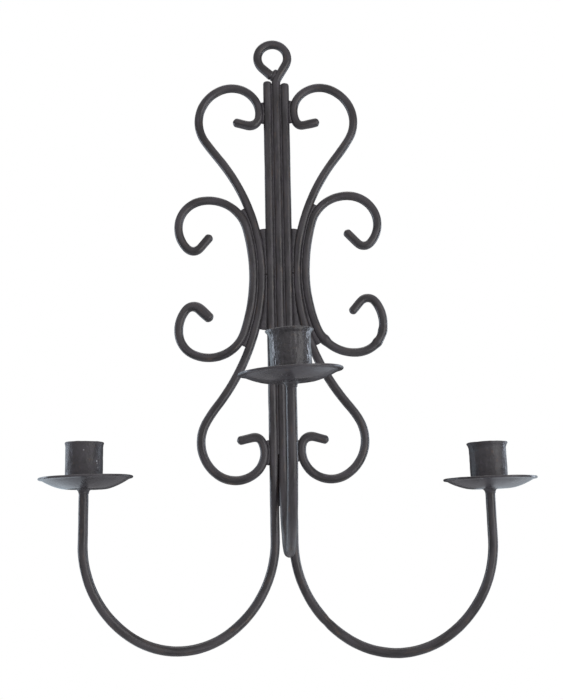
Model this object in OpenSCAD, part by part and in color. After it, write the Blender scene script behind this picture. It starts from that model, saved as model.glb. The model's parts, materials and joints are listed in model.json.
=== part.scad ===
// Three-arm wall sconce for taper candles, forged from round iron bar.
// The frame is the hanging eye: origin at its centre, +Z up, +X to the right of someone
// facing the wall, +Y into the wall. Every bar's back lies on one plane against the wall.

/* [Bars] */
// Diameter of the three stem bars, which also form the arms
stem_bar_d = 6.25; // [5.8:0.05:6.4]
// Diameter of the scroll bars
scroll_bar_d = 6; // [5.5:0.1:6]
// Gap between neighbouring bars, filled by the welds
bar_gap = 0.05; // [0.05:0.05:0.2]

/* [Hanging eye] */
// Bend radius of the eye, on the bar's centre line
eye_r = 11; // [10.5:0.5:12]
// How far the shank leans before it enters the eye, in degrees
eye_lean = 30; // [28:1:32]
// How far right of the eye's centre the stem hangs
stem_x = 2.3; // [2:0.1:3]

/* [Stem] */
// Height of the waist, where the scrolls hug the stem
waist_z = -165; // [-168:1:-162]
// Tops of the left and right stem bars
left_top_z = -18.5; // [-20:0.5:-18]
right_top_z = -20; // [-21:0.5:-19.5]

/* [Arms] */
// Reach of the left arm, from its stem bar to its pan
left_reach = 127.5; // [120:0.5:135]
// Reach of the centre arm
centre_reach = 118; // [110:1:125]
// Reach of the right arm
right_reach = 131.5; // [120:0.5:135]
// Heights where the left, centre and right stem bars start to bend out
left_bend_z = -350; // [-355:1:-345]
centre_bend_z = -293; // [-300:1:-290]
right_bend_z = -352; // [-357:1:-347]
// How far the side arms swing forward of the wall, in degrees
side_swing = 12.5; // [10:0.5:15]
// How far the centre arm turns right of straight ahead, in degrees
centre_swing = 0.5; // [0:0.5:2]

/* [Pans and cups] */
// Rim diameter of a drip pan
pan_d = 61; // [60:1:66]
// Outside depths of the left, centre and right pans
left_pan_depth = 8; // [7:0.2:9]
centre_pan_depth = 6.8; // [6.4:0.2:9]
right_pan_depth = 7.2; // [6.4:0.2:9]
// Diameter of a pan's flat floor
pan_floor_d = 28; // [28:1:32]
// Thickness of the pan sheet
pan_t = 1; // [0.8:0.1:1.2]
// Heights of the undersides of the left, centre and right pans
left_pan_z = -315; // [-320:0.1:-312]
centre_pan_z = -260.2; // [-264:0.1:-256]
right_pan_z = -319.2; // [-325:0.1:-316]
// Sideways tilts of the left, centre and right pans, in degrees
left_tilt = 0; // [-1:0.1:1]
centre_tilt = -2.3; // [-2.5:0.1:2]
right_tilt = -0.7; // [-1:0.1:1]
// How far the centre pan and its cup lean forward, in degrees
centre_lean = 3; // [0:0.5:3]
// How far the left and right pans sit right of their legs
left_pan_shift = 1.2; // [0:0.1:1.5]
right_pan_shift = 0.5; // [0:0.1:1.5]
// How far the centre cup sits right of its leg
centre_cup_shift = 0.6; // [0:0.1:1]
// Inside diameter of a cup, for a 22 mm taper candle
cup_bore_d = 22.4; // [22.2:0.1:23]
// Wall of a cup
cup_wall = 0.8; // [0.6:0.1:1]
// Height of a cup
cup_h = 29.4; // [28:0.1:32]
// How far the lips of the left, centre and right cups flare
left_flare = 0.6; // [0.4:0.1:1.5]
centre_flare = 2; // [1:0.5:2.5]
right_flare = 1.3; // [0.4:0.1:1.5]

/* [Hidden] */
$fn = 48;

iron = "#413f42";
weld_iron = "#4a484b";

stem_r = stem_bar_d / 2;
scroll_r = scroll_bar_d / 2;
bar_pitch = stem_bar_d + bar_gap;
long_x = bar_pitch + stem_r + bar_gap + scroll_r;
c_x = long_x + scroll_bar_d + bar_gap;
wall_y = stem_r;
scroll_y = wall_y - scroll_r;

// The eye's shank starts to lean where the loop, seen from the stem, centres on the origin.
shank_bend_r = 8;
shank_l = (eye_r * cos(eye_lean) - shank_bend_r * (1 - cos(eye_lean)) - stem_x) / sin(eye_lean);
eye_z = -(shank_bend_r + eye_r) * sin(eye_lean) - shank_l * cos(eye_lean);

// An arm turns up in three bends: two wide ones and a tighter one at the bottom.
arm_side_bend = 58;
arm_side_ratio = 0.56;
arm_bottom_ratio = (0.5 - arm_side_ratio * (1 - cos(arm_side_bend))) / cos(arm_side_bend);
leg_clear = 0.25;
top_edge_r = 2;

// A bend list is [radius, degrees] for a bend and [length, 0] for a straight.
// Positive degrees bend away from the stem. Each scroll is bent up and down from its waist.
left_long_up = [[140, 38], [314, -3], [27, -102], [20, -123], [7, -95], [8, 0]];
left_long_down = [[152, 38], [97, -8], [27.5, -84], [21, -72], [18, -81], [5, -76], [9, 0]];
right_long_up = [[141, 38], [145, -7], [27, -98], [20, -65], [18.5, -74], [4.5, -77], [9.5, 0]];
right_long_down = [[148, 40], [61, -10], [28, -90], [20, -133], [6.5, -93], [8, 0]];
left_c_up = [[133, 15], [28, 85], [20, 70], [22, 55], [6, 95], [10, 0]];
left_c_down = [[129, 19], [26, 94], [18, 58], [24, 47], [6.5, 96], [9, 0]];
right_c_up = [[140, 16], [27, 76], [21, 102], [22, 29], [6, 94], [10.5, 0]];
right_c_down = [[109, 21], [28, 76], [19.5, 70], [26, 50], [6.5, 103], [9, 0]];
eye_bends = [[shank_bend_r, eye_lean], [shank_l, 0], [eye_r, -258], [8.3, 0]];

// A forged bar is a hair fuller where one bend runs into the next.
swell = 0.03;

pan_side_r = 45;
pan_lip_r = 0.8;
lip_h = 2.5;
weld_ring_w = 3.6;
weld_ring_h = 4;
tack_w = 1.6;
tack_angle = 26;
bead_r = 1.3;
lobe_bead_r = 1.6;
bead_y = wall_y - bead_r - 0.05;
stem_weld_z = [-62, -225, -278];
lobe_weld_z = [-43, -289];
eye_weld_x = -1.5;

// One stretch of bar from the origin: a straight up +Z, or a bend towards +X or -X.
module stretch_of_bar(r, size, degrees) {
    if (degrees == 0) {
        cylinder(r = r, h = size);
    } else {
        side = sign(degrees);
        translate([side * size, 0, 0]) rotate([90, 0, 0]) mirror([side > 0 ? 1 : 0, 0, 0])
            rotate_extrude(angle = abs(degrees)) translate([size, 0]) circle(r = r);
    }
}

// Places its children at the end of a stretch, heading on along the bar.
module after_stretch(size, degrees) {
    side = sign(degrees);
    end = degrees == 0 ? [0, 0, size]
        : [side * size * (1 - cos(degrees)), 0, size * sin(abs(degrees))];
    translate(end) rotate([0, degrees, 0]) children();
}

// A bar bent to a list, starting at the origin up +Z. A round tip closes it if asked.
module bent_bar(bends, r, round_tip = true, i = 0) {
    last = i == len(bends) - 1;
    stretch_of_bar(r, bends[i][0], bends[i][1]);
    after_stretch(bends[i][0], bends[i][1]) {
        if (!last || round_tip) sphere(r = r + swell);
        if (!last) bent_bar(bends, r, round_tip, i + 1);
    }
}

// A scroll: one bar bent both ways from its waist, at x from the stem's centre line.
module scroll(x, up, down) {
    translate([x, scroll_y, waist_z]) {
        sphere(r = scroll_r + swell);
        bent_bar(up, scroll_r);
        rotate([180, 0, 0]) bent_bar(down, scroll_r);
    }
}

module on_stem() translate([stem_x, 0, 0]) children();

module left_side() mirror([1, 0, 0]) children();

// Depth of an arm's bend below the height where it starts.
function arm_drop(reach) = reach * (arm_side_ratio * sin(arm_side_bend)
    + arm_bottom_ratio * (1 - sin(arm_side_bend)));

// Bends from the stem's top down round the arm and up its leg to the pan.
function arm_bends(reach, top_z, bend_z, pan_z) = [
    [top_z - bend_z, 0],
    [arm_side_ratio * reach, arm_side_bend],
    [arm_bottom_ratio * reach, 180 - 2 * arm_side_bend],
    [arm_side_ratio * reach, arm_side_bend],
    [pan_z - leg_clear - bend_z, 0]];

// A stem bar that hangs from z = top_z and turns out into an arm towards +X.
module arm_bar(reach, top_z, bend_z, pan_z) {
    translate([0, 0, top_z]) rotate([180, 0, 0])
        bent_bar(arm_bends(reach, top_z, bend_z, pan_z), stem_r, round_tip = false);
}

// The rounded top of a stem bar.
module bar_top(top_z) {
    translate([0, 0, top_z - top_edge_r]) rotate_extrude() {
        square([stem_r - top_edge_r, top_edge_r]);
        translate([stem_r - top_edge_r, 0]) intersection() {
            circle(r = top_edge_r);
            square(top_edge_r);
        }
    }
}

// Placements of the left, centre and right stem bars. +X becomes each arm's direction.
module at_left() on_stem() left_side() translate([bar_pitch, 0, 0])
    rotate([0, 0, -side_swing]) children();
module at_centre() on_stem() rotate([0, 0, centre_swing - 90]) children();
module at_right() on_stem() translate([bar_pitch, 0, 0]) rotate([0, 0, -side_swing]) children();

module centre_bar() color(iron) {
    at_centre() arm_bar(centre_reach, eye_z, centre_bend_z, centre_pan_z);
    on_stem() translate([0, 0, eye_z]) {
        sphere(r = stem_r + swell);
        bent_bar(eye_bends, stem_r);
    }
}

module left_bar() color(iron) at_left() {
    bar_top(left_top_z);
    arm_bar(left_reach, left_top_z - top_edge_r, left_bend_z, left_pan_z);
}

module right_bar() color(iron) at_right() {
    bar_top(right_top_z);
    arm_bar(right_reach, right_top_z - top_edge_r, right_bend_z, right_pan_z);
}

module left_long_scroll() color(iron) on_stem() left_side()
    scroll(long_x, left_long_up, left_long_down);
module right_long_scroll() color(iron) on_stem() scroll(long_x, right_long_up, right_long_down);
module left_c_scroll() color(iron) on_stem() left_side() scroll(c_x, left_c_up, left_c_down);
module right_c_scroll() color(iron) on_stem() scroll(c_x, right_c_up, right_c_down);

// Frames of the three legs' tops, square to the room, each tilted with its pan. The origin is
// on the pan's underside.
module at_left_pan() on_stem()
    translate([-bar_pitch - left_reach * cos(side_swing), -left_reach * sin(side_swing), left_pan_z])
    rotate([0, left_tilt, 0]) children();
module at_centre_pan() on_stem()
    translate([centre_reach * sin(centre_swing), -centre_reach * cos(centre_swing), centre_pan_z])
    rotate([centre_lean, centre_tilt, 0]) children();
module at_right_pan() on_stem()
    translate([bar_pitch + right_reach * cos(side_swing), -right_reach * sin(side_swing), right_pan_z])
    rotate([0, right_tilt, 0]) children();

// A shallow dished pan of sheet iron with a thickened lip.
module drip_pan(depth) {
    floor_r = pan_floor_d / 2;
    rim_r = pan_d / 2 - pan_lip_r;
    rim_z = depth - pan_lip_r;
    run = rim_r - floor_r;
    chord = norm([run, rim_z]);
    sag_side = sqrt(pow(pan_side_r, 2) - pow(chord / 2, 2));
    centre = [(floor_r + rim_r) / 2 - sag_side * rim_z / chord, rim_z / 2 + sag_side * run / chord];
    rotate_extrude() {
        square([floor_r + pan_t / 4, pan_t]);
        intersection() {
            translate([floor_r, 0]) square([run, depth]);
            difference() {
                translate(centre) circle(r = pan_side_r, $fn = 360);
                translate(centre) circle(r = pan_side_r - pan_t, $fn = 360);
            }
        }
        translate([rim_r, rim_z]) circle(r = pan_lip_r);
    }
}

module left_drip_pan() color(iron) at_left_pan()
    translate([left_pan_shift, 0, 0]) drip_pan(left_pan_depth);
module centre_drip_pan() color(iron) at_centre_pan() drip_pan(centre_pan_depth);
module right_drip_pan() color(iron) at_right_pan()
    translate([right_pan_shift, 0, 0]) drip_pan(right_pan_depth);

// An open tube that stands on the pan's floor, its lip worked outwards.
module candle_cup(flare) {
    bore_r = cup_bore_d / 2;
    translate([0, 0, pan_t]) rotate_extrude() {
        translate([bore_r, 0]) square([cup_wall, cup_h - lip_h]);
        polygon([[bore_r, cup_h - lip_h], [bore_r + cup_wall, cup_h - lip_h],
            [bore_r + cup_wall + flare, cup_h], [bore_r + flare, cup_h]]);
    }
}

module at_centre_cup() at_centre_pan() translate([centre_cup_shift, 0, 0]) children();

module left_candle_cup() color(iron) at_left_pan() candle_cup(left_flare);
module centre_candle_cup() color(iron) at_centre_cup() candle_cup(centre_flare);
module right_candle_cup() color(iron) at_right_pan() candle_cup(right_flare);

// The fillet weld between a leg's top and the pan's underside.
module pan_weld() {
    outer = stem_r + weld_ring_w;
    blunt = 0.4;
    rotate_extrude() difference() {
        translate([stem_r, -weld_ring_h]) square([weld_ring_w, weld_ring_h]);
        translate([outer + blunt, -weld_ring_h - blunt]) circle(r = weld_ring_w);
    }
}

module left_pan_weld() color(weld_iron) at_left_pan() pan_weld();
module centre_pan_weld() color(weld_iron) at_centre_pan() pan_weld();
module right_pan_weld() color(weld_iron) at_right_pan() pan_weld();

// Three tack welds round the foot of a cup.
module cup_tacks() {
    foot_r = cup_bore_d / 2 + cup_wall;
    for (turn = [30 : 120 : 270])
        rotate([0, 0, turn]) translate([0, 0, pan_t]) rotate_extrude(angle = tack_angle)
            polygon([[foot_r, 0], [foot_r + tack_w, 0], [foot_r, tack_w]]);
}

module left_cup_tacks() color(weld_iron) at_left_pan() cup_tacks();
module centre_cup_tacks() color(weld_iron) at_centre_cup() cup_tacks();
module right_cup_tacks() color(weld_iron) at_right_pan() cup_tacks();

// A run of weld laid up a valley between two bars, its middle at the origin.
module bead(length, r = bead_r) {
    translate([0, 0, -length / 2]) {
        cylinder(r = r, h = length);
        sphere(r = r);
    }
    translate([0, 0, length / 2]) sphere(r = r);
}

// The weld that closes the eye onto its shank.
module eye_weld() color(weld_iron) translate([eye_weld_x, 0, eye_z + 5]) sphere(r = 2.6);

// Runs of weld behind the stem that hold its three bars together.
module stem_welds() color(weld_iron) on_stem() difference() {
    for (side = [-1, 1], z = stem_weld_z)
        translate([side * bar_pitch / 2, bead_y, z]) bead(14);
    for (x = [-1, 0, 1])
        translate([x * bar_pitch, 0, centre_bend_z]) cylinder(r = stem_r, h = eye_z - centre_bend_z);
}

// Welds between the stem and the long scrolls: behind the waist and where each lobe touches.
module long_scroll_welds() color(weld_iron) on_stem() for (side = [-1, 1]) {
    x = side * (long_x - scroll_r - bar_gap / 2);
    translate([x, bead_y, waist_z]) bead(24);
    for (z = lobe_weld_z) translate([x, scroll_y, z]) bead(11, lobe_bead_r);
}

// Welds behind the waist between each long scroll and its C-scroll.
module c_scroll_welds() color(weld_iron) on_stem() for (side = [-1, 1], z = [-12, 12])
    translate([side * (long_x + scroll_r + bar_gap / 2), bead_y, waist_z + z]) bead(10);

centre_bar();
left_bar();
right_bar();
left_long_scroll();
right_long_scroll();
left_c_scroll();
right_c_scroll();
left_drip_pan();
centre_drip_pan();
right_drip_pan();
left_candle_cup();
centre_candle_cup();
right_candle_cup();
left_pan_weld();
centre_pan_weld();
right_pan_weld();
left_cup_tacks();
centre_cup_tacks();
right_cup_tacks();
eye_weld();
stem_welds();
long_scroll_welds();
c_scroll_welds();
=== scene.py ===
import json
from math import cos, exp, hypot, pi, radians, sin, sqrt

import bmesh
import bpy
from mathutils import Matrix, Vector, noise


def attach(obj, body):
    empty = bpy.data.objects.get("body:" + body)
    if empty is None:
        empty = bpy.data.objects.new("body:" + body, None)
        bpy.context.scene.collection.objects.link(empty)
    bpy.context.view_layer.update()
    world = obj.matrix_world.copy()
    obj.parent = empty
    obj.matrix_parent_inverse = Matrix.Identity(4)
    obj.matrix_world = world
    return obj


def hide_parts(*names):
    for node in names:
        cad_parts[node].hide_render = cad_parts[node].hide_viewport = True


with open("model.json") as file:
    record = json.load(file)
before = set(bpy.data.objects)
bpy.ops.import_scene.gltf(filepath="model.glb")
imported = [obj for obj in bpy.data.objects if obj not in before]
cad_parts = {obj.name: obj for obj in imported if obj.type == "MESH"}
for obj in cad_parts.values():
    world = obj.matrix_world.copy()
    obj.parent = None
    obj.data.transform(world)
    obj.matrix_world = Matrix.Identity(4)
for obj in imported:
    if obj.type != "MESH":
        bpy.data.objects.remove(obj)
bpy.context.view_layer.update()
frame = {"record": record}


# ---- Centre bar, with the hanging eye ----
# One 6.25 mm round bar. Its top is turned round a peg into the eye that hangs on the wall hook;
# below, it runs straight down and is bent forwards and up into the middle arm.
MM = 0.001
STEM_BAR_R = 3.125
PAINT = 0.04
STEM_X = 2.3
BAR_PITCH = 6.3
# Bends are (radius, degrees), and straights are (length, 0), in the order they are made.
EYE_BENDS = [(8, 30), (12.31, 0), (11, -258), (8.0, 0)]
EYE_Z = -20.16
CENTRE_REACH = 118
CENTRE_BEND_Z = -293
CENTRE_PAN_Z = -260.2
CENTRE_SWING = radians(0.5)
ARM_SIDE = 0.56
ARM_SIDE_TURN = 58
ARM_FOOT_TURN = 64
LEG_CLEAR = 0.25
TIP_STEPS = (15, 30, 45, 58, 70, 80, 87)
LONG_WAVE, SHORT_WAVE = 17, 6.5


def follow_bends(bends, pace=0.9):
    """Centre line of a bent bar, flat, in mm, from (0, 0) heading up; plus degrees go to +x."""
    line = [(0.0, 0.0)]
    x = z = heading = 0.0
    for size, degrees in bends:
        length = size * radians(abs(degrees)) if degrees else size
        steps = max(2, round(length / pace))
        turn = radians(degrees) / steps
        chord = 2 * size * sin(abs(turn) / 2) if degrees else size / steps
        for _ in range(steps):
            heading += turn / 2
            x, z = x + chord * sin(heading), z + chord * cos(heading)
            heading += turn / 2
            line.append((x, z))
    return line


def arm_bends(reach, top_z, bend_z, pan_z):
    """Bends from the top of a stem bar down round its arm and up the leg to the pan."""
    turn = radians(ARM_SIDE_TURN)
    foot = (0.5 - ARM_SIDE * (1 - cos(turn))) / cos(turn)
    return [(top_z - bend_z, 0), (ARM_SIDE * reach, ARM_SIDE_TURN), (foot * reach, ARM_FOOT_TURN),
            (ARM_SIDE * reach, ARM_SIDE_TURN), (pan_z - LEG_CLEAR - bend_z, 0)]


def eased(points, passes):
    """A bar doesn't change its bend at a point, so the line is eased a little along its length."""
    for _ in range(passes):
        points = [points[0]] + [(a + b * 2 + c) / 4 for a, b, c in
                                zip(points, points[1:], points[2:])] + [points[-1]]
    return points


def round_tip(points, radii, blunt):
    """Adds a hammered round tip past the last point."""
    end, r = points[-1], radii[-1]
    way = (end - points[-2]).normalized()
    for step in TIP_STEPS:
        points.append(end + way * r * blunt * sin(radians(step)))
        radii.append(r * cos(radians(step)))


def socket(tree, name):
    """The identifier of a tree's named input, by which a modifier's value is set."""
    return next(s.identifier for s in tree.interface.items_tree
                if s.item_type == "SOCKET" and s.in_out == "INPUT" and s.name == name)


def forged_bar_tree():
    """Sweeps a round bar along a line and roughs its skin with hammer marks and thick paint."""
    tree = bpy.data.node_groups.new("forged_bar", "GeometryNodeTree")
    face = tree.interface
    face.new_socket("Line", in_out="INPUT", socket_type="NodeSocketGeometry")
    for name, value in (("Sides", 28), ("Seed", 1)):
        face.new_socket(name, in_out="INPUT", socket_type="NodeSocketInt").default_value = value
    for name, value in (("Hammer depth", 0.00016), ("Hammer size", 0.011),
                        ("Paint depth", 0.00007), ("Paint size", 0.0022)):
        face.new_socket(name, in_out="INPUT", socket_type="NodeSocketFloat").default_value = value
    face.new_socket("Paint", in_out="INPUT", socket_type="NodeSocketMaterial")
    face.new_socket("Bar", in_out="OUTPUT", socket_type="NodeSocketGeometry")
    n, link = tree.nodes, tree.links.new
    given, out = n.new("NodeGroupInput"), n.new("NodeGroupOutput")

    def sum_of(operation, one, other=None):
        node = n.new("ShaderNodeMath")
        node.operation = operation
        for place, value in ((0, one), (1, other)):
            if isinstance(value, (int, float)):
                node.inputs[place].default_value = value
            elif value:
                link(value, node.inputs[place])
        return node.outputs[0]

    ring = n.new("GeometryNodeCurvePrimitiveCircle")
    ring.inputs["Radius"].default_value = 1.0
    link(given.outputs["Sides"], ring.inputs["Resolution"])
    round_way = n.new("GeometryNodeCaptureAttribute")
    round_way.capture_items.new("FLOAT", "Turn")
    link(ring.outputs["Curve"], round_way.inputs["Geometry"])
    link(n.new("GeometryNodeSplineParameter").outputs["Factor"], round_way.inputs["Turn"])
    long_way = n.new("GeometryNodeCaptureAttribute")
    long_way.capture_items.new("FLOAT", "Length")
    long_way.capture_items.new("FLOAT", "Thick")
    link(given.outputs["Line"], long_way.inputs["Geometry"])
    link(n.new("GeometryNodeSplineParameter").outputs["Length"], long_way.inputs["Length"])
    link(n.new("GeometryNodeInputRadius").outputs["Radius"], long_way.inputs["Thick"])

    sweep = n.new("GeometryNodeCurveToMesh")
    link(long_way.outputs["Geometry"], sweep.inputs["Curve"])
    link(round_way.outputs["Geometry"], sweep.inputs["Profile Curve"])
    link(long_way.outputs["Thick"], sweep.inputs["Scale"])
    sweep.inputs["Fill Caps"].default_value = True

    # Each point keeps where it lies on the straight bar, before it was bent.
    turn = sum_of("MULTIPLY", round_way.outputs["Turn"], 2 * pi)
    straight = n.new("ShaderNodeCombineXYZ")
    for way, operation in (("X", "COSINE"), ("Y", "SINE")):
        link(sum_of("MULTIPLY", sum_of(operation, turn), long_way.outputs["Thick"]),
             straight.inputs[way])
    link(long_way.outputs["Length"], straight.inputs["Z"])
    keep = n.new("GeometryNodeStoreNamedAttribute")
    keep.data_type, keep.domain = "FLOAT_VECTOR", "POINT"
    keep.inputs["Name"].default_value = "straight_bar"
    link(sweep.outputs["Mesh"], keep.inputs["Geometry"])
    link(straight.outputs[0], keep.inputs["Value"])

    shape = keep.outputs["Geometry"]
    for depth, size, stretch in (("Hammer depth", "Hammer size", 0.7),
                                 ("Paint depth", "Paint size", 0.8)):
        squashed = n.new("ShaderNodeVectorMath")
        squashed.operation = "MULTIPLY"
        squashed.inputs[1].default_value = (1, 1, stretch)
        link(straight.outputs[0], squashed.inputs[0])
        rough = n.new("ShaderNodeTexNoise")
        rough.noise_dimensions = "4D"
        rough.inputs["Detail"].default_value = 2.0
        link(squashed.outputs[0], rough.inputs["Vector"])
        link(given.outputs["Seed"], rough.inputs["W"])
        link(sum_of("DIVIDE", 1.0, given.outputs[size]), rough.inputs["Scale"])
        level = sum_of("MULTIPLY", sum_of("SUBTRACT", rough.outputs[0], 0.5), given.outputs[depth])
        outwards = n.new("ShaderNodeVectorMath")
        outwards.operation = "SCALE"
        link(n.new("GeometryNodeInputNormal").outputs[0], outwards.inputs[0])
        link(sum_of("MULTIPLY", level, 2.0), outwards.inputs["Scale"])
        move = n.new("GeometryNodeSetPosition")
        link(shape, move.inputs["Geometry"])
        link(outwards.outputs[0], move.inputs["Offset"])
        shape = move.outputs["Geometry"]

    smooth = n.new("GeometryNodeSetShadeSmooth")
    link(shape, smooth.inputs["Geometry"])
    whole = n.new("GeometryNodeRealizeInstances")
    link(smooth.outputs[0], whole.inputs["Geometry"])
    painted = n.new("GeometryNodeSetMaterial")
    link(whole.outputs[0], painted.inputs["Geometry"])
    link(given.outputs["Paint"], painted.inputs["Material"])
    link(painted.outputs[0], out.inputs["Bar"])
    return tree


FORGED_BAR = forged_bar_tree()


def grown(name, source, tree, inputs):
    """The plain mesh that a node tree makes from a source object, as a new object."""
    step = source.modifiers.new("made", "NODES")
    step.node_group = tree
    for key, value in inputs.items():
        step[socket(tree, key)] = value
    bpy.context.view_layer.update()
    made = source.evaluated_get(bpy.context.evaluated_depsgraph_get())
    mesh = bpy.data.meshes.new_from_object(made)
    source.modifiers.remove(step)
    bpy.data.objects.remove(source)
    piece = bpy.data.objects.new(name, mesh)
    bpy.context.scene.collection.objects.link(piece)
    return piece


def line_object(points, radii):
    """A bar's centre line and its thickness at each point, both in mm, for the bar tree."""
    line = bpy.data.curves.new("line", "CURVE")
    line.dimensions = "3D"
    spline = line.splines.new("POLY")
    spline.points.add(len(points) - 1)
    for spot, at, r in zip(spline.points, points, radii):
        spot.co = (*(at * MM), 1)
        spot.radius = r * MM
    source = bpy.data.objects.new("line", line)
    bpy.context.scene.collection.objects.link(source)
    return source


def hammered(points, r, seed, uneven=0.022, swells=()):
    """Bar thickness along a line: a slow unevenness, plus swells as (mm along, extra, width)."""
    radii, along = [], 0.0
    for i, at in enumerate(points):
        if i:
            along += (at - points[i - 1]).length
        wave = noise.noise(Vector((along / LONG_WAVE, seed * 7.3, 0))) \
            + 0.5 * noise.noise(Vector((along / SHORT_WAVE, seed * 3.1, 5)))
        extra = sum(high * exp(-((along - s) / width) ** 2) for s, high, width in swells)
        radii.append((r + PAINT) * (1 + uneven * wave + extra))
    return radii


def paint_group(name, inputs, outputs):
    """An empty shader node group with named inputs and outputs."""
    group = bpy.data.node_groups.new(name, "ShaderNodeTree")
    for label, kind, value in inputs:
        made = group.interface.new_socket(label, in_out="INPUT", socket_type="NodeSocket" + kind)
        if value is not None:
            made.default_value = value
    for label, kind in outputs:
        group.interface.new_socket(label, in_out="OUTPUT", socket_type="NodeSocket" + kind)
    return group, group.nodes.new("NodeGroupInput"), group.nodes.new("NodeGroupOutput")


def noise_in(group, vector, scale, detail, rough=0.55):
    cloud = group.nodes.new("ShaderNodeTexNoise")
    cloud.inputs["Detail"].default_value = detail
    cloud.inputs["Roughness"].default_value = rough
    group.links.new(vector, cloud.inputs["Vector"])
    group.links.new(scale, cloud.inputs["Scale"])
    return cloud.outputs[0]


def span(group, value, low, high, to_low, to_high, smooth=False):
    """Maps a value from one span to another and holds it there."""
    ranged = group.nodes.new("ShaderNodeMapRange")
    ranged.interpolation_type = "SMOOTHSTEP" if smooth else "LINEAR"
    group.links.new(value, ranged.inputs["Value"])
    for label, given in (("From Min", low), ("From Max", high),
                         ("To Min", to_low), ("To Max", to_high)):
        if isinstance(given, (int, float)):
            ranged.inputs[label].default_value = given
        else:
            group.links.new(given, ranged.inputs[label])
    return ranged.outputs[0]


def mixed(group, factor, one, other):
    mix = group.nodes.new("ShaderNodeMix")
    mix.data_type = "RGBA"
    group.links.new(factor, mix.inputs[0])
    for slot, given in ((6, one), (7, other)):
        if isinstance(given, tuple):
            mix.inputs[slot].default_value = given
        else:
            group.links.new(given, mix.inputs[slot])
    return mix.outputs[2]


def worked(group, operation, one, other):
    """ADD or MULTIPLY of two values inside a group."""
    total = group.nodes.new("ShaderNodeMath")
    total.operation = operation
    group.links.new(one, total.inputs[0])
    group.links.new(other, total.inputs[1])
    return total.outputs[0]


def black_paint_tone():
    """Black paint that has aged unevenly: grey cloud, and faint brown and violet streaks."""
    group, given, out = paint_group(
        "black_paint_tone",
        [("Place", "Vector", None), ("Cloud size", "Float", 90.0), ("Streak size", "Float", 420.0),
         ("Dark", "Color", (0.027, 0.025, 0.028, 1)), ("Pale", "Color", (0.055, 0.051, 0.057, 1)),
         ("Rust", "Color", (0.075, 0.052, 0.040, 1)),
         ("Violet", "Color", (0.060, 0.050, 0.066, 1)), ("Streaks", "Float", 0.5)],
        [("Tone", "Color"), ("Worn", "Float")])
    link = group.links.new
    cloud = noise_in(group, given.outputs["Place"], given.outputs["Cloud size"], 4)
    tone = mixed(group, span(group, cloud, 0.3, 0.7, 0, 1, True),
                 given.outputs["Dark"], given.outputs["Pale"])
    streaks = noise_in(group, given.outputs["Place"], given.outputs["Streak size"], 3, 0.6)
    rusty = worked(group, "MULTIPLY", span(group, streaks, 0.56, 0.74, 0, 1, True),
                   given.outputs["Streaks"])
    tone = mixed(group, rusty, tone, given.outputs["Rust"])
    bluish = worked(group, "MULTIPLY", span(group, streaks, 0.44, 0.28, 0, 1, True),
                    given.outputs["Streaks"])
    tone = mixed(group, bluish, tone, given.outputs["Violet"])
    link(tone, out.inputs["Tone"])
    link(span(group, cloud, 0.35, 0.65, 0, 1, True), out.inputs["Worn"])
    return group


def dust_specks():
    """Pale dust and tiny chips, a mask of small round dots that comes and goes in patches."""
    group, given, out = paint_group(
        "dust_specks",
        [("Place", "Vector", None), ("Dots", "Float", 500.0), ("Dot width", "Float", 0.2),
         ("Patches", "Float", 60.0), ("Amount", "Float", 0.5)],
        [("Mask", "Float")])
    cells = group.nodes.new("ShaderNodeTexVoronoi")
    group.links.new(given.outputs["Place"], cells.inputs["Vector"])
    group.links.new(given.outputs["Dots"], cells.inputs["Scale"])
    dot = span(group, cells.outputs["Distance"], given.outputs["Dot width"], 0.02, 0, 1, True)
    patch = noise_in(group, given.outputs["Place"], given.outputs["Patches"], 2)
    near = span(group, patch, 0.60, 0.72, 0, 1, True)
    spread = worked(group, "MULTIPLY", dot, near)
    group.links.new(worked(group, "MULTIPLY", spread, given.outputs["Amount"]),
                    out.inputs["Mask"])
    return group


def thick_paint():
    """Height of brushed thick paint: soft sags, wrinkles and a fine orange-peel skin."""
    group, given, out = paint_group(
        "thick_paint",
        [("Place", "Vector", None), ("Sags", "Float", 160.0), ("Wrinkles", "Float", 700.0),
         ("Wrinkle depth", "Float", 0.4), ("Peel", "Float", 2600.0),
         ("Peel depth", "Float", 0.12)],
        [("Height", "Float")])
    sag = noise_in(group, given.outputs["Place"], given.outputs["Sags"], 2)
    wrinkle = noise_in(group, given.outputs["Place"], given.outputs["Wrinkles"], 3, 0.6)
    peel = noise_in(group, given.outputs["Place"], given.outputs["Peel"], 1)
    wrinkled = worked(group, "MULTIPLY", wrinkle, given.outputs["Wrinkle depth"])
    peeled = worked(group, "MULTIPLY", peel, given.outputs["Peel depth"])
    height = worked(group, "ADD", worked(group, "ADD", sag, wrinkled), peeled)
    group.links.new(height, out.inputs["Height"])
    return group


TONE, SPECKS, THICK = black_paint_tone(), dust_specks(), thick_paint()
DUST = (0.62, 0.63, 0.66, 1)


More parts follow.
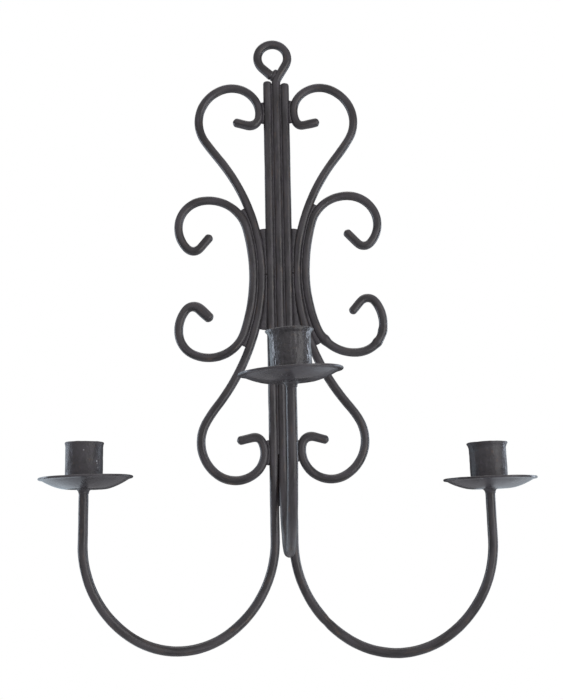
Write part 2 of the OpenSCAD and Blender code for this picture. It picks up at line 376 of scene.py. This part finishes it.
def black_paint(name, tone, specks, thick, rough, attribute=None, stretch=(1, 1, 1), coat=0.0,
                coat_rough=0.2, bump=0.35, bump_depth=0.0004):
    """One finish of the sconce: black paint whose tone, gloss and skin vary over the surface."""
    paint = bpy.data.materials.new(name)
    paint.use_nodes = True
    tree = paint.node_tree
    link = tree.links.new
    shader = tree.nodes["Principled BSDF"]
    if attribute:
        place = tree.nodes.new("ShaderNodeAttribute")
        place.attribute_name = attribute
        spot = place.outputs["Vector"]
    else:
        place = tree.nodes.new("ShaderNodeTexCoord")
        spot = place.outputs["Object"]
    fit = tree.nodes.new("ShaderNodeMapping")
    fit.inputs["Scale"].default_value = stretch
    link(spot, fit.inputs["Vector"])

    def use(group, values, vector):
        """Places a shared effect in this finish with its own values."""
        box = tree.nodes.new("ShaderNodeGroup")
        box.node_tree = group
        link(vector, box.inputs["Place"])
        for label, value in values.items():
            box.inputs[label].default_value = value
        return box

    colour = use(TONE, tone, fit.outputs[0])
    dust = use(SPECKS, specks, spot)
    base = mixed(tree, dust.outputs["Mask"], colour.outputs["Tone"], DUST)
    link(base, shader.inputs["Base Color"])
    link(span(tree, colour.outputs["Worn"], 0, 1, rough[0], rough[1]),
         shader.inputs["Roughness"])
    skin = use(THICK, thick, spot)
    raised = tree.nodes.new("ShaderNodeBump")
    raised.inputs["Strength"].default_value = bump
    raised.inputs["Distance"].default_value = bump_depth
    link(skin.outputs["Height"], raised.inputs["Height"])
    link(raised.outputs[0], shader.inputs["Normal"])
    shader.inputs["Coat Weight"].default_value = coat
    shader.inputs["Coat Roughness"].default_value = coat_rough
    shader.inputs["Coat IOR"].default_value = 1.3
    return paint


BAR_PAINT = black_paint("bar_paint", attribute="straight_bar", stretch=(1, 1, 0.16),
                        rough=(0.28, 0.46),
                        tone={"Cloud size": 260, "Streak size": 620, "Streaks": 0.75,
                              "Dark": (0.015, 0.0137, 0.0146, 1),
                              "Pale": (0.053, 0.0487, 0.0525, 1)},
                        thick={"Sags": 240, "Wrinkles": 800},
                        specks={"Amount": 0.25, "Dot width": 0.14})


def bar_piece(name, points, radii, node, seed):
    """Makes one forged bar, rides it on the sconce and stands it in for its plain node."""
    piece = grown(name, line_object(points, radii), FORGED_BAR, {"Seed": seed, "Paint": BAR_PAINT})
    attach(piece, "root")
    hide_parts(node)


eye_line = [Vector((STEM_X + x, 0, EYE_Z + z)) for x, z in follow_bends(EYE_BENDS, 0.7)]
centre_bends = arm_bends(CENTRE_REACH, EYE_Z, CENTRE_BEND_Z, CENTRE_PAN_Z)
arm_line = [Vector((STEM_X + x * sin(CENTRE_SWING), -x * cos(CENTRE_SWING), EYE_Z - z))
            for x, z in follow_bends(centre_bends)]
eye_radii = hammered(eye_line, STEM_BAR_R, 1, swells=((30, -0.03, 8), (76, 0.07, 6)))
round_tip(eye_line, eye_radii, 0.7)
arm_radii = hammered(arm_line, STEM_BAR_R, 2)
centre_line = eased(list(reversed(eye_line)) + arm_line[1:], 3)
centre_radii = list(reversed(eye_radii)) + arm_radii[1:]
bar_piece("centre_bar_forged", centre_line, centre_radii, "centre_bar", 11)


# ---- Left and right stem bars ----
# Two more 6.25 mm bars clamped against the centre bar and welded behind. Their tops are rounded
# over; below the waist they turn out sideways, swing a little forwards and rise to their pans.
SIDE_SWING = radians(12.5)
TOP_EDGE = 2.0
# Each is how far the arm reaches, then the heights of the bar's top, its bend and its pan.
LEFT_BAR = (127.5, -18.5, -350, -315)
RIGHT_BAR = (131.5, -20, -352, -319.2)


def side_bar(name, node, side, sizes, seed, swells=()):
    reach, top_z, bend_z, pan_z = sizes
    flat = follow_bends(arm_bends(reach, top_z, bend_z, pan_z))
    line = [Vector((STEM_X + side * (BAR_PITCH + x * cos(SIDE_SWING)),
                    -x * sin(SIDE_SWING), top_z - z)) for x, z in flat]
    radii = hammered(line, STEM_BAR_R, seed, swells=swells)
    line = eased(line, 3)
    for i, at in enumerate(line):
        down = top_z - at.z
        if down > TOP_EDGE:
            break
        radii[i] = radii[i] - TOP_EDGE + sqrt(max(0, TOP_EDGE ** 2 - (TOP_EDGE - down) ** 2))
    bar_piece(name, line, radii, node, seed)


side_bar("left_bar_forged", "left_bar", -1, LEFT_BAR, 21)
side_bar("right_bar_forged", "right_bar", 1, RIGHT_BAR, 31, swells=((389, -0.07, 2.5),))


# ---- Long scrolls ----
# A 6 mm bar each side, hugging the stem at the waist. Both ends curl back round to touch the
# stem, and the last few millimetres are hooked over tightly inside the curl.
SCROLL_BAR_R = 3.0
SCROLL_Y = 0.125
WAIST_Z = -165
LONG_X = 12.475
LEFT_LONG_UP = [(140, 38), (314, -3), (27, -102), (20, -123), (7, -95), (8, 0)]
LEFT_LONG_DOWN = [(152, 38), (97, -8), (27.5, -84), (21, -72), (18, -81), (5, -76), (9, 0)]
RIGHT_LONG_UP = [(141, 38), (145, -7), (27, -98), (20, -65), (18.5, -74), (4.5, -77), (9.5, 0)]
RIGHT_LONG_DOWN = [(148, 40), (61, -10), (28, -90), (20, -133), (6.5, -93), (8, 0)]
SCROLL_LINES = {}


def scroll(name, node, side, out_x, up, down, seed, lumps_up=(), lumps_down=()):
    """One bar bent both ways from the waist, with a hammered tip at each end."""
    halves = []
    for bends, way, lumps, further in ((up, 1, lumps_up, 0), (down, -1, lumps_down, 50)):
        line = [Vector((STEM_X + side * (out_x + x), SCROLL_Y, WAIST_Z + way * z))
                for x, z in follow_bends(bends, 0.8)]
        radii = hammered(line, SCROLL_BAR_R, seed + further, 0.03, lumps)
        round_tip(line, radii, 0.85)
        halves.append((line, radii))
    (up_line, up_radii), (down_line, down_radii) = halves
    line = eased(list(reversed(up_line)) + down_line[1:], 4)
    SCROLL_LINES[node] = line
    bar_piece(name, line, list(reversed(up_radii)) + down_radii[1:], node, seed)


scroll("left_long_scroll_forged", "left_long_scroll", -1, LONG_X,
       LEFT_LONG_UP, LEFT_LONG_DOWN, 41, lumps_up=((209, 0.09, 5), (219, 0.05, 4)),
       lumps_down=((213, 0.04, 4),))
scroll("right_long_scroll_forged", "right_long_scroll", 1, LONG_X,
       RIGHT_LONG_UP, RIGHT_LONG_DOWN, 42, lumps_up=((206, 0.06, 4), (216, 0.05, 4)),
       lumps_down=((212, 0.05, 5),))


# ---- C-scrolls ----
# A shorter 6 mm bar outside each long scroll, bowed out wide above and below the waist, with
# both ends hooked back in towards the stem.
C_X = 18.525
LEFT_C_UP = [(133, 15), (28, 85), (20, 70), (22, 55), (6, 95), (10, 0)]
LEFT_C_DOWN = [(129, 19), (26, 94), (18, 58), (24, 47), (6.5, 96), (9, 0)]
RIGHT_C_UP = [(140, 16), (27, 76), (21, 102), (22, 29), (6, 94), (10.5, 0)]
RIGHT_C_DOWN = [(109, 21), (28, 76), (19.5, 70), (26, 50), (6.5, 103), (9, 0)]
scroll("left_c_scroll_forged", "left_c_scroll", -1, C_X, LEFT_C_UP, LEFT_C_DOWN, 51,
       lumps_up=((128, 0.05, 5),), lumps_down=((137, 0.26, 9), (150, 0.16, 5)))
scroll("right_c_scroll_forged", "right_c_scroll", 1, C_X, RIGHT_C_UP, RIGHT_C_DOWN, 52,
       lumps_down=((50, 0.22, 2.6), (92, 0.16, 2.2), (101, 0.12, 2.5)))


# ---- Drip pans ----
# Shallow dishes pressed from 1 mm sheet, with a flat floor and a rolled lip. Each is welded on
# top of its leg, and thick paint has pooled along the lip.
PAN_R = 30.5
PAN_DEPTH = {"left": 8.0, "centre": 6.8, "right": 7.2}
PAN_SHIFT = {"left": 1.2, "centre": -0.6, "right": 0.5}
PAN_FLOOR_R = 14.0
PAN_SKEW = {"left": 0.7, "centre": 0.45}
PAN_SHEET = 1.0
PAN_SIDE_R = 45.0
PAN_LIP_R = 0.8
SOCKET_HEIGHT = 0.015
SHEET_PAINT = black_paint("sheet_paint", rough=(0.24, 0.38), coat=0.2, coat_rough=0.12,
                          bump=0.5, bump_depth=0.0004,
                          tone={"Cloud size": 70, "Streak size": 300, "Streaks": 0.3},
                          thick={"Sags": 130, "Wrinkles": 520, "Wrinkle depth": 0.35},
                          specks={"Amount": 0.9, "Dot width": 0.22, "Patches": 70})


def cup_frame(side, shift=0.0):
    """Where a cup's axis meets the underside of its pan, tilted as the pan was welded on."""
    mount = next(m for m in frame["record"]["mounts"] if m["name"] == side + "_candle_socket")
    up = Vector(mount["axis"])
    turn = Vector((0, 0, 1)).rotation_difference(up)
    foot = Vector(mount["pos_m"]) - up * SOCKET_HEIGHT
    return Matrix.Translation(foot) @ turn.to_matrix().to_4x4() \
        @ Matrix.Translation((shift * MM, 0, 0))


def turned(name, profile, place, turns, wobble, paint, node, closed=True):
    """Spins an (r, z) outline in mm round its axis; wobble moves each point outwards and up."""
    mesh = bmesh.new()
    rings = []
    for i in range(turns):
        a = 2 * pi * i / turns
        ring = []
        for j, (r, z) in enumerate(profile):
            dr, dz = wobble(r, z, a, j)
            spot = Vector(((r + dr) * cos(a), (r + dr) * sin(a), z + dz))
            ring.append(mesh.verts.new(spot * MM))
        rings.append(ring)
    count = len(profile)
    for i in range(turns):
        here, there = rings[i], rings[(i + 1) % turns]
        for j in range(count if closed else count - 1):
            k = (j + 1) % count
            mesh.faces.new((here[j], there[j], there[k], here[k]))
    if not closed:
        mesh.faces.new([ring[0] for ring in rings])
        mesh.faces.new([ring[-1] for ring in reversed(rings)])
    bmesh.ops.recalc_face_normals(mesh, faces=mesh.faces)
    data = bpy.data.meshes.new(name)
    mesh.transform(place)
    mesh.to_mesh(data)
    mesh.free()
    data.shade_smooth()
    data.materials.append(paint)
    piece = bpy.data.objects.new(name, data)
    bpy.context.scene.collection.objects.link(piece)
    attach(piece, "root")
    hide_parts(node)


def pan_outline(depth):
    """The pan's outline from the middle of the underside round the lip to the middle on top."""
    rim_r, rim_z = PAN_R - PAN_LIP_R, depth - PAN_LIP_R
    run = rim_r - PAN_FLOOR_R
    chord = hypot(run, rim_z)
    sag = sqrt(PAN_SIDE_R ** 2 - (chord / 2) ** 2)
    cx = (PAN_FLOOR_R + rim_r) / 2 - sag * rim_z / chord
    cz = rim_z / 2 + sag * run / chord

    def side(r, wall):
        return cz - sqrt((PAN_SIDE_R - wall) ** 2 - (r - cx) ** 2)

    under = [(r, 0.0) for r in (0.4, 3, 6, 9, 11, 12.6)]
    under += [(PAN_FLOOR_R - 0.6, 0.03), (PAN_FLOOR_R + 0.4, 0.2)]
    under += [(r, side(r, 0)) for r in (15.5, 17, 18.5, 20, 21.5, 23, 24.5, 26, 27.5, 28.8)]
    lip = [(rim_r + PAN_LIP_R * sin(a), rim_z - PAN_LIP_R * cos(a))
           for a in (radians(d) for d in (-15, 20, 50, 80, 110, 140, 170, 200, 235))]
    top = [(r, side(r, PAN_SHEET)) for r in (28.6, 27, 25.5, 24, 22.5, 21, 19.5, 18, 16.5, 15.4)]
    top += [(PAN_FLOOR_R + 0.3, 1.25), (PAN_FLOOR_R - 0.8, 1.03)]
    top += [(r, PAN_SHEET) for r in (12, 9, 6, 3, 0.4)]
    return under + lip + top


def drip_pan(side, seed):
    def wobble(r, z, a, j):
        at = Vector((cos(a) * r / 12, sin(a) * r / 12, seed * 4.7))
        grow = max(0.0, (r - PAN_FLOOR_R) / (PAN_R - PAN_FLOOR_R))
        dent = noise.noise(at) * 0.14 * grow
        fine = noise.noise(at * 4 + Vector((0, 0, j * 0.15))) * 0.05
        skew = PAN_SKEW.get(side, 0) * cos(a) * grow
        uneven = noise.noise(Vector((cos(a) * 1.3, sin(a) * 1.3, seed * 9.1))) * 0.12 * grow
        return uneven, dent + skew + fine * min(1, r / 10)

    turned(side + "_drip_pan_pressed", pan_outline(PAN_DEPTH[side]),
           cup_frame(side, PAN_SHIFT[side]), 160, wobble,
           SHEET_PAINT, side + "_drip_pan", closed=False)


for pan_seed, pan_side in enumerate(("left", "centre", "right"), 1):
    drip_pan(pan_side, pan_seed)


# ---- Candle cups ----
# Open tubes of 0.8 mm sheet, 29 mm tall, that stand on the pans' floors. The lip is beaten
# outwards, most on the centre cup, and brushed paint has run and wrinkled down the walls.
CUP_BORE_R = 11.2
CUP_WALL = 0.8
CUP_H = 29.4
CUP_LIP = 0.9
CUP_FLARE = {"left": 0.3, "centre": 2.0, "right": 1.3}
CUP_WRINKLES = {"left": 0.1, "centre": 0.34, "right": 0.12}


def cup_paint(side, gloss, bump, depth, dark):
    return black_paint(side + "_cup_paint", rough=(0.40, 0.58), coat=gloss, coat_rough=0.14,
                       bump=bump, bump_depth=depth,
                       tone={"Cloud size": 130, "Streak size": 380, "Streaks": 0.6,
                             "Dark": (dark, 0.93 * dark, 1.03 * dark, 1),
                             "Pale": (2 * dark, 1.87 * dark, 2.07 * dark, 1)},
                       thick={"Sags": 190, "Wrinkles": 560, "Wrinkle depth": 0.6},
                       specks={"Amount": 1.0, "Dots": 430, "Dot width": 0.32, "Patches": 130})


CUP_PAINT = {"left": cup_paint("left", 0.08, 0.8, 0.0006, 0.027),
             "centre": cup_paint("centre", 0.9, 1.0, 0.0010, 0.017),
             "right": cup_paint("right", 0.12, 0.8, 0.0006, 0.027)}


def candle_cup(side, seed):
    flare = CUP_FLARE[side]
    steps = 22
    outer, inner = [], []
    for i in range(steps + 1):
        z = (CUP_H - CUP_LIP) * i / steps
        out = 0.85 * flare * max(0, (z - CUP_H + 4.5) / 3.6) ** 1.8
        outer.append((CUP_BORE_R + CUP_WALL + out, PAN_SHEET + z))
        inner.append((CUP_BORE_R + out, PAN_SHEET + z))
    top = PAN_SHEET + CUP_H
    mid = (outer[-1][0] + inner[-1][0]) / 2
    bead = [(mid + 0.62 * cos(a), top - CUP_LIP + CUP_LIP * sin(a))
            for a in (radians(d) for d in (5, 30, 55, 75, 90, 105, 125, 150, 175))]
    outline = outer[:-1] + bead + list(reversed(inner[:-1]))

    def wobble(r, z, a, j):
        up = (z - PAN_SHEET) / CUP_H
        out_of_round = 0.16 * sin(2 * a + seed) \
            + 0.12 * noise.noise(Vector((cos(a), sin(a), seed * 3.3)))
        runs = noise.noise(Vector((cos(a) * 4.5, sin(a) * 4.5, z * 0.10 + seed * 11)))
        wrinkles = noise.noise(Vector((cos(a) * 9, sin(a) * 9, z * 0.42 + seed * 5)))
        lip = 0.25 * noise.noise(Vector((cos(a) * 3, sin(a) * 3, seed * 2.2))) * up ** 6
        return out_of_round * up + 0.16 * runs + CUP_WRINKLES[side] * wrinkles, lip

    turned(side + "_candle_cup_rolled", outline, cup_frame(side), 140, wobble,
           CUP_PAINT[side], side + "_candle_cup")


for cup_seed, cup_side in enumerate(("left", "centre", "right"), 1):
    candle_cup(cup_side, cup_seed)


# ---- Welds ----
# Painted-over weld metal: a fillet under each pan, tacks round each cup's foot, the drop that
# closes the eye, and beads up the valleys behind the stem. Where a scroll runs close to the stem
# or to another scroll, weld and paint web the narrow gap between them.
WELD_PAINT = black_paint("weld_paint", rough=(0.34, 0.5), bump=0.5, bump_depth=0.0003,
                         tone={"Cloud size": 300, "Streak size": 700, "Streaks": 0.4},
                         thick={"Sags": 500, "Wrinkles": 1300},
                         specks={"Amount": 0.1})
LEG_SHIFT = {"centre": -0.6}
FILLET_OUT = 2.5
FILLET_DOWN = 3.0
FILLET_HOLLOW = 2.3
BEAD_R = 1.3
BEAD_Y = STEM_BAR_R - 1.6
WEB_THICK = 1.5
WEB_OVERLAP = 0.8
# Webs between a long scroll and the stem: from and to which height, the widest gap that is
# filled, and how blunt the web's ends are.
STEM_WEBS = [(WAIST_Z, -120, 4.2, 0.12), (-215, WAIST_Z, 5.4, 0.12),
             (-64, -15, 2.2, 0.3), (-314, -266, 2.2, 0.3)]
C_WEB_REACH = 50
C_WEB_ABOVE, C_WEB_BELOW = 2.8, 4.2
TONGUE = 42
SEAM_Y = -0.95


def pan_weld(side, seed):
    outline = [(0.4, 0.1)]
    for i in range(9):
        a = radians(90 * i / 8)
        outline.append((STEM_BAR_R + FILLET_OUT - FILLET_HOLLOW * sin(a),
                        FILLET_DOWN * (cos(a) - 1)))
    outline.append((0.4, -FILLET_DOWN - 0.2))

    def wobble(r, z, a, j):
        at = Vector((cos(a) * r / 2.2, sin(a) * r / 2.2, z / 2.2 + seed * 6.1))
        push = noise.noise(at) * 0.35 if 0 < j < len(outline) - 1 else 0
        return push, push * 0.5 if z < -0.2 else 0

    turned(side + "_pan_fillet_weld", outline, cup_frame(side, LEG_SHIFT.get(side, 0)), 64, wobble,
           WELD_PAINT, side + "_pan_weld", closed=False)


for weld_seed, weld_side in enumerate(("left", "centre", "right"), 1):
    pan_weld(weld_side, weld_seed)


def weld_piece(name, node, runs, seed, thick_way=Vector((0, 1, 0))):
    """Lumpy runs of weld as one piece; a run is (points, half-widths, half-thicknesses, blunt)."""
    mesh = bmesh.new()
    sides = 16
    lump_size, lump_height = 1.5, 0.22
    for points, wide, thick, blunt in runs:
        ways = [(b - a).normalized() for a, b in zip(points, points[1:])]
        ways.append(ways[-1])
        rows = list(zip(points, ways, wide, thick))
        for end, sign in ((rows[0], -1), (rows[-1], 1)):
            for a in (radians(d) for d in (30, 55, 75)):
                at, way, w, t = end
                row = (at + way * sign * w * blunt * sin(a), way, w * cos(a), t * cos(a))
                rows.insert(0, row) if sign < 0 else rows.append(row)
        rings = []
        for at, way, w, t in rows:
            across = way.cross(thick_way).normalized()
            ring = []
            for i in range(sides):
                a = 2 * pi * i / sides
                spot = at + across * w * cos(a) + thick_way * t * sin(a)
                lump = noise.noise(spot / lump_size + Vector((seed, 0, 0)))
                spot += (across * cos(a) + thick_way * sin(a)) * (lump_height * lump)
                ring.append(mesh.verts.new(spot * MM))
            rings.append(ring)
        for here, there in zip(rings, rings[1:]):
            for i in range(sides):
                j = (i + 1) % sides
                mesh.faces.new((here[i], here[j], there[j], there[i]))
        mesh.faces.new(rings[0])
        mesh.faces.new(list(reversed(rings[-1])))
    bmesh.ops.recalc_face_normals(mesh, faces=mesh.faces)
    data = bpy.data.meshes.new(name)
    mesh.to_mesh(data)
    mesh.free()
    data.shade_smooth()
    data.materials.append(WELD_PAINT)
    piece = bpy.data.objects.new(name, data)
    bpy.context.scene.collection.objects.link(piece)
    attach(piece, "root")
    if node:
        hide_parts(node)


def straight_run(x, y, z_mid, length, r):
    """An upright bead of weld, of one thickness."""
    count = max(4, round(length / 0.7))
    return [Vector((x, y, z_mid + length * (i / count - 0.5))) for i in range(count + 1)], \
        [r] * (count + 1), [r] * (count + 1), 0.8


def stem_web(line, edge, side, z_from, z_to, widest, blunt):
    """Weld that fills the narrow wedge between a scroll and the stem's edge."""
    points, wide = [], []
    for at in line:
        if z_from <= at.z <= z_to:
            gap = side * (at.x - edge) - SCROLL_BAR_R
            if gap <= widest:
                y = 0.5 - 1.5 * exp(-max(0.0, gap) / 1.2)
                points.append(Vector((edge + side * gap / 2, y, at.z)))
                wide.append(max(0.0, gap) / 2 + WEB_OVERLAP)
    return points, wide, [WEB_THICK] * len(points), blunt


def scroll_web(line, beside):
    """Weld that fills the narrow wedges between a C-scroll and the long scroll beside it."""
    points, wide = [], []
    for at in line:
        if abs(at.z - WAIST_Z) < C_WEB_REACH:
            near = min(beside, key=lambda p: (p - at).length)
            gap = (near - at).length - 2 * SCROLL_BAR_R
            if gap < (C_WEB_BELOW if at.z < WAIST_Z else C_WEB_ABOVE):
                points.append((near + at) / 2 - Vector((0, 0.9 * exp(-max(0.0, gap)), 0)))
                wide.append(max(0.0, gap) / 2 + WEB_OVERLAP)
    return points, wide, [WEB_THICK] * len(points), 0.3


long_runs, c_runs = [], []
for side, named in ((-1, "left"), (1, "right")):
    edge = STEM_X + side * (BAR_PITCH + STEM_BAR_R)
    long_line = SCROLL_LINES[named + "_long_scroll"]
    long_runs.append(straight_run(edge, BEAD_Y, WAIST_Z, 24, BEAD_R))
    long_runs += [stem_web(long_line, edge, side, *web) for web in STEM_WEBS]
    valley_x = STEM_X + side * (LONG_X + 3.02)
    c_runs += [straight_run(valley_x, BEAD_Y, WAIST_Z + up, 10, BEAD_R) for up in (-12, 12)]
    c_runs.append(scroll_web(SCROLL_LINES[named + "_c_scroll"], long_line))

weld_piece("long_scroll_weld_runs", "long_scroll_welds", long_runs, 61)
weld_piece("c_scroll_weld_runs", "c_scroll_welds", c_runs, 62)
# The tongue fills the space that the centre bar's bend leaves between the side bars.
tongue = [Vector((STEM_X, 1.2, -286 - i)) for i in range(TONGUE)]
weld_piece("stem_back_beads", "stem_welds",
           [straight_run(STEM_X + side * BAR_PITCH / 2, BEAD_Y, z, 14, 1.35)
            for side in (-1, 1) for z in (-62, -225, -278)]
           + [(tongue, [3.5] * TONGUE, [1.2] * TONGUE, 0.2)], 63)
weld_piece("stem_paint_seams", None,
           [straight_run(STEM_X + side * BAR_PITCH / 2, SEAM_Y, -157, 270, 0.85)
            for side in (-1, 1)], 64)
drop = [Vector((2.4 - 0.42 * i, 0.1, EYE_Z + 9.9 - 0.9 * i)) for i in range(8)]
drop_r = [1.7, 2.1, 2.4, 2.6, 2.6, 2.5, 2.2, 1.8]
weld_piece("eye_closing_weld", "eye_weld", [(drop, drop_r, drop_r, 0.7)], 65)


def foot_tacks(side, seed):
    place = cup_frame(side)
    foot = CUP_BORE_R + CUP_WALL + 0.3
    runs = []
    for middle in (43, 163, 283):
        arc = [radians(middle - 13 + 26 * i / 9) for i in range(10)]
        round_foot = [Vector((foot * cos(a), foot * sin(a), PAN_SHEET + 0.3)) for a in arc]
        runs.append(([(place @ (at * MM)) / MM for at in round_foot],
                     [1.0] * 10, [1.0] * 10, 0.8))
    weld_piece(side + "_foot_tacks", side + "_cup_tacks", runs, seed, Vector((0, 0, 1)))


for tack_seed, tack_side in enumerate(("left", "centre", "right"), 66):
    foot_tacks(tack_side, tack_seed)


# ---- Studio ----
# A pale floor well below, white surroundings, a broad soft light in front, tall soft panels and
# narrow bluish windows at both sides, and a camera a little below the waist looking slightly up.
FLOOR_Z = -1.9
FLOOR_HALF = 4
floor_mesh = bpy.data.meshes.new("floor")
floor_mesh.from_pydata([(x * FLOOR_HALF, y * FLOOR_HALF, FLOOR_Z)
                        for x, y in ((-1, -1), (1, -1), (1, 1), (-1, 1))], [], [(0, 1, 2, 3)])
floor = bpy.data.objects.new("floor", floor_mesh)
bpy.context.scene.collection.objects.link(floor)
pale = bpy.data.materials.new("pale_floor")
pale.use_nodes = True
pale_shader = pale.node_tree.nodes["Principled BSDF"]
pale_shader.inputs["Base Color"].default_value = (0.80, 0.80, 0.81, 1)
pale_shader.inputs["Roughness"].default_value = 0.9
floor_mesh.materials.append(pale)

world = bpy.data.worlds.new("white_room")
bpy.context.scene.world = world
world.use_nodes = True
room = world.node_tree
where = room.nodes.new("ShaderNodeTexCoord")
split = room.nodes.new("ShaderNodeSeparateXYZ")
room.links.new(where.outputs["Generated"], split.inputs[0])
# Brightest in front, and behind the object dark below and brighter above.
front = span(room, split.outputs["Y"], 0.35, -0.75, 0.0, 1.0, True)
high = span(room, split.outputs["Z"], 0.1, 0.8, 0.0, 1.0, True)
behind = mixed(room, high, (0.05, 0.05, 0.052, 1), (0.60, 0.60, 0.62, 1))
soft = mixed(room, front, behind, (0.72, 0.70, 0.73, 1))
seen = room.nodes.new("ShaderNodeLightPath")
room.links.new(mixed(room, seen.outputs["Is Camera Ray"], soft, (1, 1, 1, 1)),
               room.nodes["Background"].inputs["Color"])


def soft_panel(name, at, towards, wide, tall, glow, colour=(1, 1, 1)):
    """A rectangular soft light; glow is its brightness as seen, whatever its size."""
    light = bpy.data.lights.new(name, "AREA")
    light.shape = "RECTANGLE"
    light.size, light.size_y = wide, tall
    light.energy = glow * pi * wide * tall
    light.color = colour
    panel = bpy.data.objects.new(name, light)
    panel.location = at
    panel.rotation_euler = (Vector(towards) - Vector(at)).to_track_quat("-Z", "Y").to_euler()
    panel.visible_camera = False
    bpy.context.scene.collection.objects.link(panel)


WINDOW_BLUE = (0.78, 0.86, 1.0)
soft_panel("front_soft", (1.15, -1.0, -0.35), (0, 0, -0.25), 0.9, 1.6, 2.3)
soft_panel("left_side", (-0.50, 0.36, -0.62), (-0.50, -1, -0.62), 0.58, 1.5, 1.0,
           (0.74, 0.88, 1.0))
soft_panel("right_side", (0.55, 0.36, -0.62), (0.55, -1, -0.62), 0.66, 1.5, 0.76,
           (0.78, 0.90, 1.0))
soft_panel("left_window", (-0.95, 0.30, -0.2), (0, -0.1, -0.28), 0.22, 0.7, 7.0, WINDOW_BLUE)
soft_panel("right_window", (0.95, 0.38, -0.2), (0, -0.1, -0.28), 0.16, 0.7, 8.0, WINDOW_BLUE)
soft_panel("top_soft", (0, 0.5, 1.1), (0, 0, -0.2), 1.0, 0.6, 2.0)

AIM = Vector((2.7, 0, -219.6)) * MM
DISTANCE = 0.680
yaw, pitch, roll = radians(2.2), radians(10.5), radians(1.1)
ahead = Vector((sin(yaw) * cos(pitch), cos(yaw) * cos(pitch), sin(pitch)))
right = Vector((cos(yaw), -sin(yaw), 0))
above = right.cross(ahead)
right, above = right * cos(roll) - above * sin(roll), right * sin(roll) + above * cos(roll)
lens = bpy.data.cameras.new("camera")
lens.lens = 50
lens.sensor_width = 36
lens.sensor_fit = "AUTO"
camera = bpy.data.objects.new("camera", lens)
camera.matrix_world = Matrix.Translation(AIM - ahead * DISTANCE) \
    @ Matrix((right, above, -ahead)).transposed().to_4x4()
bpy.context.scene.collection.objects.link(camera)
bpy.context.scene.camera = camera
bpy.context.scene.view_settings.view_transform = "Standard"
